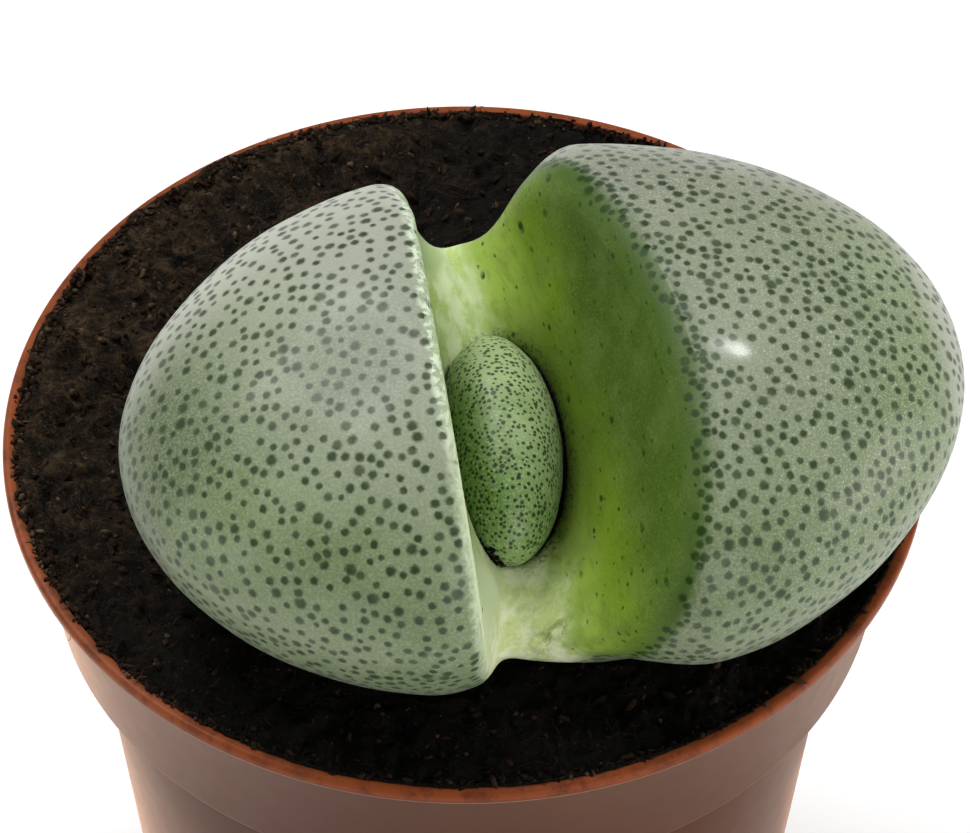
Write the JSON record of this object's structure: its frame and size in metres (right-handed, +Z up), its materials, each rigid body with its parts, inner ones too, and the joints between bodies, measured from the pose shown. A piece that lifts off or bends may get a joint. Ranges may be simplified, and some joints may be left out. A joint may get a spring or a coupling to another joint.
{
  "type": "potted split rock succulent",
  "caption": "Split rock succulent with two thick spotted leaves and a young pair in the cleft, standing in soil in a small round plastic nursery pot.",
  "frame": {"origin": "centre of the pot's flat underside, on the pot's axis", "axes": "+Z up along the pot's axis, +X across the cleft towards the leaning right leaf, +Y roughly along the cleft towards its far end"},
  "size_m": [0.0561, 0.055, 0.0696],
  "materials": {
    "pot": "satin terracotta-brown injection moulded plastic",
    "soil": "moist black peat with fine fibres",
    "leaf": "waxy grey-green skin with dark green dots and a green inner face",
    "young_leaf": "waxy green skin with fine dark dots",
    "root": "corky brown root"
  },
  "bodies": {
    "root": {"pot": "pot", "soil": "soil", "leaf_left": "leaf", "leaf_right": "leaf", "young_leaf_far": "young_leaf", "young_leaf_near": "young_leaf", "taproot": "root"}
  },
  "joints": []
}
